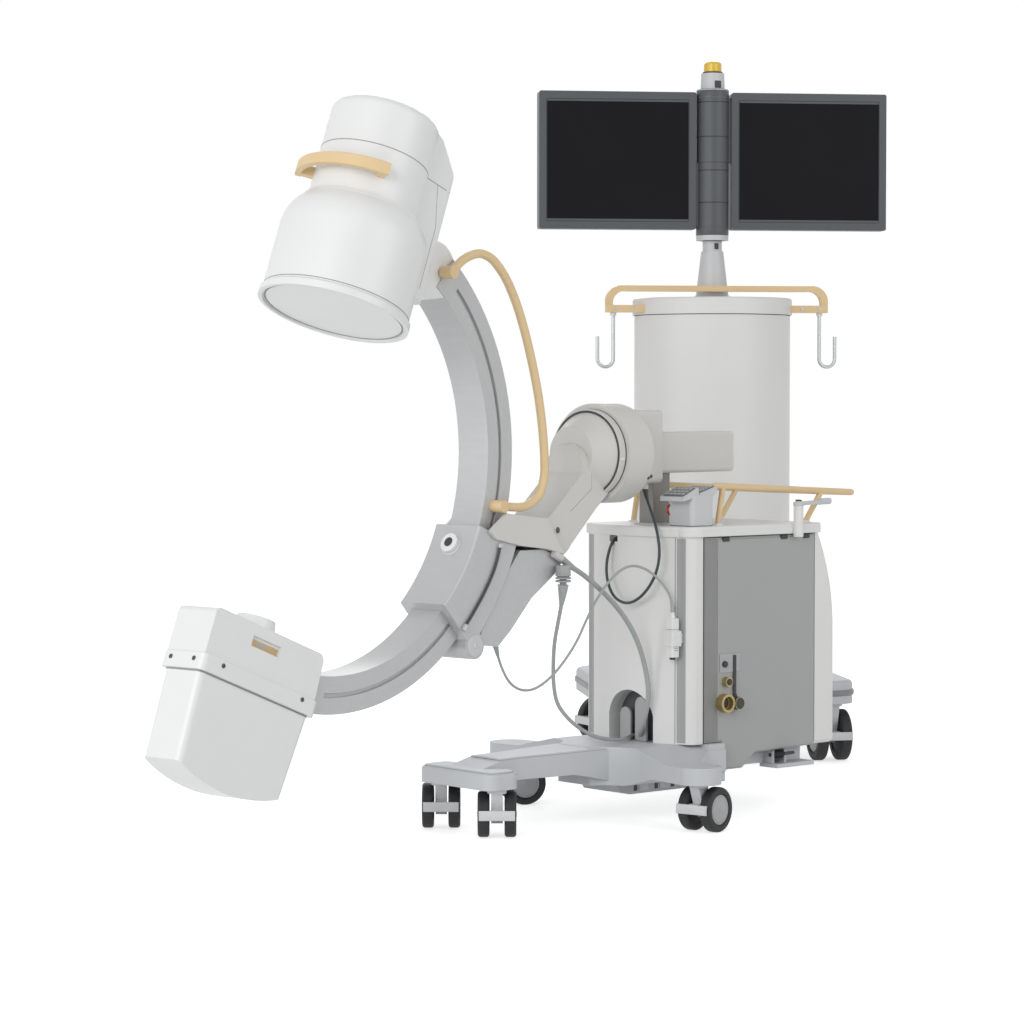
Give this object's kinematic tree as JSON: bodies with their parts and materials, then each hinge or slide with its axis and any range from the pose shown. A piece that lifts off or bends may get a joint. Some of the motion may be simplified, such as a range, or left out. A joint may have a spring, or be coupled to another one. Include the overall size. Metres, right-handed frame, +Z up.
{
  "type": "mobile c-arm x-ray",
  "caption": "Mobile C-arm x-ray stand on a wheeled T base with lift, swivel, reach, rotation and orbital motion, and its wheeled two-screen viewing station.",
  "frame": {"origin": "on the floor, under the middle of the whole set's box without its loose cables", "axes": "+X from the detector end towards the push handle end, +Y to the far side, where the viewing station stands, +Z up"},
  "size_m": [3.014, 1.5459, 1.93],
  "materials": {
    "housing": "satin off-white moulding",
    "grey_metal": "satin grey paint",
    "arc_metal": "satin grey anodised",
    "arm_metal": "satin warm grey paint",
    "casting": "satin light silver paint",
    "frame": "satin",
    "panel": "satin grey",
    "cover": "satin off-white",
    "steel": "brushed",
    "tan": "satin tan",
    "dark": "matt dark grey",
    "bezel": "matt dark grey",
    "screen": "gloss black",
    "lamp": "gloss yellow",
    "brass": "satin",
    "tyre": "matt black",
    "red": "gloss red",
    "cable_grey": "satin grey",
    "cable_dark": "satin black"
  },
  "bodies": {
    "base": {"base_casting": "casting", "cabinet_frame": "frame", "front_cover": "cover", "side_panel_near": "panel", "side_panel_far": "panel", "rear_cover": "cover", "top_deck": "cover", "push_handle": "tan", "console": "dark", "hand_switch": "cover", "connectors": "brass", "station_base": "casting", "station_drum": "cover", "station_column": "grey_metal", "station_lamp": "lamp", "station_handle": "tan", "station_hooks": "steel", "cord_loop": "cable_dark", "cord_hose": "cable_grey", "cord_switch": "cable_grey", "cord_plugged": "cable_grey", "plug": "cable_grey"},
    "column": {"lift_column": "steel"},
    "head": {"swivel_head": "arm_metal"},
    "arm": {"rotation_housing": "arm_metal"},
    "turning_arm": {"l_arm": "arm_metal", "carriage": "arc_metal", "cord_thin": "cable_dark"},
    "c_arm": {"c_arc": "arc_metal", "detector_skirt": "housing", "detector_body": "housing", "detector_handle": "tan", "grab_bar": "tan", "tube_upper_cover": "housing", "tube_lower_cover": "housing"},
    "knob": {"lock_knob": "cover"},
    "pedal": {"brake_pedal": "dark"},
    "lever": {"steering_lever": "grey_metal"},
    "stop": {"stop_button": "red"},
    "trigger": {"exposure_button": "dark"},
    "left_monitor": {"monitor_left": "bezel", "screen_left": "screen"},
    "right_monitor": {"monitor_right": "bezel", "screen_right": "screen"},
    "castor_front_far": {"castor_front_far_fork": "steel"},
    "castor_front_far_rollers": {"castor_front_far_wheels": "tyre"},
    "castor_front_near": {"castor_front_near_fork": "steel"},
    "castor_front_near_rollers": {"castor_front_near_wheels": "tyre"},
    "castor_rear_near": {"castor_rear_near_fork": "steel"},
    "castor_rear_near_rollers": {"castor_rear_near_wheels": "tyre"},
    "castor_rear_far": {"castor_rear_far_fork": "steel"},
    "castor_rear_far_rollers": {"castor_rear_far_wheels": "tyre"},
    "station_castor_front_left": {"station_castor_front_left_fork": "steel"},
    "station_castor_front_left_rollers": {"station_castor_front_left_wheels": "tyre"},
    "station_castor_front_right": {"station_castor_front_right_fork": "steel"},
    "station_castor_front_right_rollers": {"station_castor_front_right_wheels": "tyre"},
    "station_castor_rear_right": {"station_castor_rear_right_fork": "steel"},
    "station_castor_rear_right_rollers": {"station_castor_rear_right_wheels": "tyre"},
    "station_castor_rear_left": {"station_castor_rear_left_fork": "steel"},
    "station_castor_rear_left_rollers": {"station_castor_rear_left_wheels": "tyre"}
  },
  "joints": [
    {"name": "lift", "type": "slide", "parent": "base", "child": "column", "axis": [0, 0, 1], "range_m": [0, 0.42], "deforming": ["cord_loop", "cord_hose", "cord_switch"]},
    {"name": "swivel", "type": "hinge", "parent": "column", "child": "head", "pos_m": [0.082, -0.393, 0.816], "axis": [0, 0, 1], "range_deg": [-20.5, 4.5]},
    {"name": "arm_slide", "type": "slide", "parent": "head", "child": "arm", "axis": [-0.9903, -0.1392, 0], "range_m": [0, 0.2]},
    {"name": "arm_rotation", "type": "hinge", "parent": "arm", "child": "turning_arm", "pos_m": [0.082, -0.393, 0.865], "axis": [0.9903, 0.1392, 0], "range_deg": [-180, 180], "deforming": ["cord_plugged", "plug"]},
    {"name": "orbital", "type": "hinge", "parent": "turning_arm", "child": "c_arm", "pos_m": [-1.03106, -0.54943, 0.877], "axis": [-0.1392, 0.9903, 0], "range_deg": [-45, 0]},
    {"name": "lock_knob_turn", "type": "hinge", "parent": "turning_arm", "child": "knob", "pos_m": [-0.63755, -0.49413, 0.67014], "axis": [0.8784, 0.1234, -0.4617], "range_deg": [0, 270]},
    {"name": "brake_pedal_rock", "type": "hinge", "parent": "base", "child": "pedal", "pos_m": [0.334, -0.559, 0.132], "axis": [1, 0, 0], "range_deg": [-12, 12]},
    {"name": "steering_lever_swing", "type": "hinge", "parent": "base", "child": "lever", "pos_m": [0.372, -0.593, 0.74], "axis": [0, 0, 1], "range_deg": [-60, 0]},
    {"name": "stop_button_press", "type": "slide", "parent": "base", "child": "stop", "axis": [0, -1, 0], "range_m": [0, 0.004], "stiffness_N_per_m": 900},
    {"name": "exposure_button_press", "type": "slide", "parent": "base", "child": "trigger", "axis": [0, 0, 1], "range_m": [0, 0.003], "stiffness_N_per_m": 500},
    {"name": "monitor_left_swivel", "type": "hinge", "parent": "base", "child": "left_monitor", "pos_m": [1.023, 0.36, 1.654], "axis": [0, 0, 1], "range_deg": [-35, 35]},
    {"name": "monitor_right_swivel", "type": "hinge", "parent": "base", "child": "right_monitor", "pos_m": [1.023, 0.36, 1.654], "axis": [0, 0, 1], "range_deg": [-35, 35]},
    {"name": "castor_front_far_swivel", "type": "hinge", "parent": "base", "child": "castor_front_far", "pos_m": [-0.503, -0.294, 0.052], "axis": [0, 0, 1], "continuous": true},
    {"name": "castor_front_far_roll", "type": "hinge", "parent": "castor_front_far", "child": "castor_front_far_rollers", "pos_m": [-0.48594, -0.27438, 0.052], "axis": [-0.7547, 0.6561, 0], "continuous": true},
    {"name": "castor_front_near_swivel", "type": "hinge", "parent": "base", "child": "castor_front_near", "pos_m": [-0.503, -0.492, 0.052], "axis": [0, 0, 1], "continuous": true},
    {"name": "castor_front_near_roll", "type": "hinge", "parent": "castor_front_near", "child": "castor_front_near_rollers", "pos_m": [-0.48594, -0.47238, 0.052], "axis": [-0.7547, 0.6561, 0], "continuous": true},
    {"name": "castor_rear_near_swivel", "type": "hinge", "parent": "base", "child": "castor_rear_near", "pos_m": [-0.09, -0.721, 0.052], "axis": [0, 0, 1], "continuous": true},
    {"name": "castor_rear_near_roll", "type": "hinge", "parent": "castor_rear_near", "child": "castor_rear_near_rollers", "pos_m": [-0.06457, -0.71559, 0.052], "axis": [-0.2079, 0.9781, 0], "continuous": true},
    {"name": "castor_rear_far_swivel", "type": "hinge", "parent": "base", "child": "castor_rear_far", "pos_m": [-0.09, -0.065, 0.052], "axis": [0, 0, 1], "continuous": true},
    {"name": "castor_rear_far_roll", "type": "hinge", "parent": "castor_rear_far", "child": "castor_rear_far_rollers", "pos_m": [-0.06644, -0.07599, 0.052], "axis": [0.4226, 0.9063, 0], "continuous": true},
    {"name": "station_castor_front_left_swivel", "type": "hinge", "parent": "base", "child": "station_castor_front_left", "pos_m": [0.64841, 0.33041, 0.07], "axis": [0, 0, 1], "continuous": true},
    {"name": "station_castor_front_left_roll", "type": "hinge", "parent": "station_castor_front_left", "child": "station_castor_front_left_rollers", "pos_m": [0.68036, 0.34204, 0.07], "axis": [-0.342, 0.9397, 0], "continuous": true},
    {"name": "station_castor_front_right_swivel", "type": "hinge", "parent": "base", "child": "station_castor_front_right", "pos_m": [1.13589, 0.0016, 0.07], "axis": [0, 0, 1], "continuous": true},
    {"name": "station_castor_front_right_roll", "type": "hinge", "parent": "station_castor_front_right", "child": "station_castor_front_right_rollers", "pos_m": [1.15289, 0.03105, 0.07], "axis": [-0.866, 0.5, 0], "continuous": true},
    {"name": "station_castor_rear_right_swivel", "type": "hinge", "parent": "base", "child": "station_castor_rear_right", "pos_m": [1.39759, 0.38959, 0.07], "axis": [0, 0, 1], "continuous": true},
    {"name": "station_castor_rear_right_roll", "type": "hinge", "parent": "station_castor_rear_right", "child": "station_castor_rear_right_rollers", "pos_m": [1.42544, 0.40909, 0.07], "axis": [-0.5736, 0.8192, 0], "continuous": true},
    {"name": "station_castor_rear_left_swivel", "type": "hinge", "parent": "base", "child": "station_castor_rear_left", "pos_m": [0.91011, 0.7184, 0.07], "axis": [0, 0, 1], "continuous": true},
    {"name": "station_castor_rear_left_roll", "type": "hinge", "parent": "station_castor_rear_left", "child": "station_castor_rear_left_rollers", "pos_m": [0.94296, 0.7096, 0.07], "axis": [0.2588, 0.9659, 0], "continuous": true}
  ]
}
